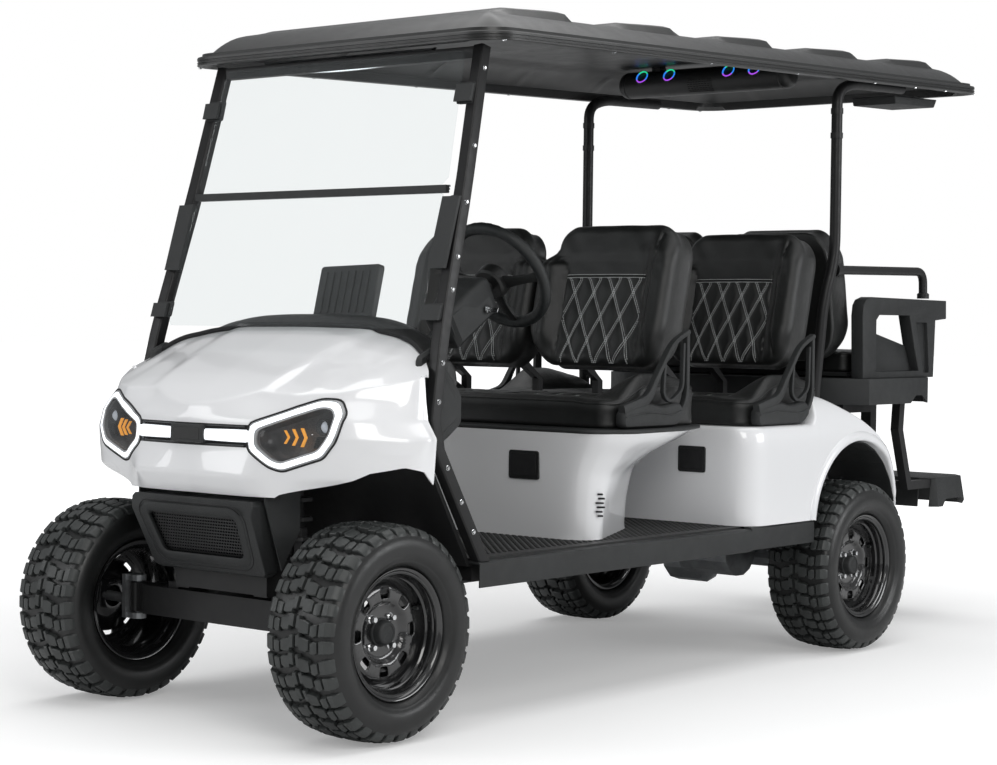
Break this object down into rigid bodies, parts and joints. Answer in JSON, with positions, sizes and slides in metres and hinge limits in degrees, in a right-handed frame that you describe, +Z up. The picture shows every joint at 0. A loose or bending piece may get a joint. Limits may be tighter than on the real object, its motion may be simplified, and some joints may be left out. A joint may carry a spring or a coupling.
{
  "type": "golf cart",
  "caption": "Lifted open-sided electric cart with forward and rear-facing bench rows, a long ribbed roof, faceted nose, folding windshield, all-terrain tyres and a rear footstep.",
  "frame": {"origin": "centre of the cart's overall footprint, on the ground under the wheels", "axes": "+Z up; -Y forward, towards the nose; +X to the driver's side, the cart's left"},
  "size_m": [1.28, 3.57, 2.0037],
  "materials": {
    "white_paint": "gloss",
    "dark_plastic": "fine grain",
    "dash_plastic": "satin",
    "roof_plastic": "fine grain",
    "lamp_plastic": "gloss",
    "lamp_glass": "smoked",
    "display_glass": "gloss",
    "clear_pane": "clear",
    "black_leather": "soft grain",
    "floor_rubber": "ribbed",
    "wheel_rubber": "satin",
    "tyre": "matte",
    "wheel_paint": "gloss",
    "frame_steel": "semi-gloss",
    "spring_steel": "satin",
    "cast_alloy": "as cast",
    "battery_case": "matte"
  },
  "bodies": {
    "cart": {"armrests": "dark_plastic", "backrests_row1": "black_leather", "backrests_row2": "black_leather", "backrests_row3": "black_leather", "battery_pack": "battery_case", "bumper_fascia": "dark_plastic", "chassis_frame": "frame_steel", "cushion_row1": "black_leather", "cushion_row2": "black_leather", "dash_display": "display_glass", "dashboard": "dash_plastic", "drive_motor": "cast_alloy", "floor_mat": "floor_rubber", "floor_pan": "frame_steel", "footstep": "dark_plastic", "front_axle": "frame_steel", "front_cowl": "white_paint", "front_grille": "dark_plastic", "front_struts": "frame_steel", "hitch": "frame_steel", "lamp_lenses": "lamp_glass", "light_surround": "lamp_plastic", "pedals": "frame_steel", "rear_arms": "dark_plastic", "rear_axle": "cast_alloy", "rear_body": "white_paint", "rear_frame": "frame_steel", "rear_hoops": "frame_steel", "rear_springs": "spring_steel", "rear_struts": "frame_steel", "rear_tray": "dark_plastic", "rocker_panels": "dark_plastic", "roof": "roof_plastic", "roof_rear_box": "dark_plastic", "seat_frames": "frame_steel", "seat_pod_front": "white_paint", "seat_rim_front": "white_paint", "shock_absorbers": "spring_steel", "side_pods": "dark_plastic", "sound_bar": "dark_plastic", "spring_brackets": "frame_steel", "steering_column": "dark_plastic", "wheel_well_liners": "dark_plastic", "windshield_fittings": "dark_plastic", "windshield_lower": "clear_pane", "windshield_upper": "clear_pane"},
    "wheel_front_left": {"rim_front_left": "wheel_paint", "tyre_front_left": "tyre"},
    "wheel_front_right": {"rim_front_right": "wheel_paint", "tyre_front_right": "tyre"},
    "wheel_rear_left": {"rim_rear_left": "wheel_paint", "tyre_rear_left": "tyre"},
    "wheel_rear_right": {"rim_rear_right": "wheel_paint", "tyre_rear_right": "tyre"},
    "knuckle_left": {"knuckle_left": "cast_alloy"},
    "knuckle_right": {"knuckle_right": "cast_alloy"},
    "tie_rod": {"tie_rod": "spring_steel"},
    "steering_wheel": {"steering_wheel": "wheel_rubber"},
    "rear_seat": {"rear_seat_deck": "dark_plastic", "cushion_row3": "black_leather"}
  },
  "joints": [
    {"name": "steering_turn", "type": "hinge", "parent": "cart", "child": "steering_wheel", "pos_m": [0.275, -0.758, 1.199], "axis": [0, 0.8387, 0.5446], "range_deg": [-270, 270]},
    {"name": "steer_left", "type": "hinge", "parent": "cart", "child": "knuckle_left", "pos_m": [0.4, -1.506, 0.288], "axis": [0, 0, 1], "range_deg": [-25, 25]},
    {"name": "steer_right", "type": "hinge", "parent": "cart", "child": "knuckle_right", "pos_m": [-0.4, -1.506, 0.288], "axis": [0, 0, 1], "range_deg": [-25, 25]},
    {"name": "tie_rod_slide", "type": "slide", "parent": "cart", "child": "tie_rod", "axis": [1, 0, 0], "range_m": [-0.0423, 0.0423]},
    {"name": "spin_front_left", "type": "hinge", "parent": "knuckle_left", "child": "wheel_front_left", "pos_m": [0.487, -1.506, 0.279], "axis": [1, 0, 0], "continuous": true},
    {"name": "spin_front_right", "type": "hinge", "parent": "knuckle_right", "child": "wheel_front_right", "pos_m": [-0.487, -1.506, 0.279], "axis": [1, 0, 0], "continuous": true},
    {"name": "spin_rear_left", "type": "hinge", "parent": "cart", "child": "wheel_rear_left", "pos_m": [0.52, 0.724, 0.279], "axis": [1, 0, 0], "continuous": true},
    {"name": "spin_rear_right", "type": "hinge", "parent": "cart", "child": "wheel_rear_right", "pos_m": [-0.52, 0.724, 0.279], "axis": [1, 0, 0], "continuous": true},
    {"name": "rear_seat_flip", "type": "hinge", "parent": "cart", "child": "rear_seat", "pos_m": [0, 1.356, 0.898], "axis": [-1, 0, 0], "range_deg": [0, 180]}
  ],
  "couplings": [
    {"joint": "steer_left", "follows": "steering_turn", "ratio": 0.092593},
    {"joint": "steer_right", "follows": "steering_turn", "ratio": 0.092593},
    {"joint": "tie_rod_slide", "follows": "steering_turn", "m_per_rad": -0.0089682}
  ]
}
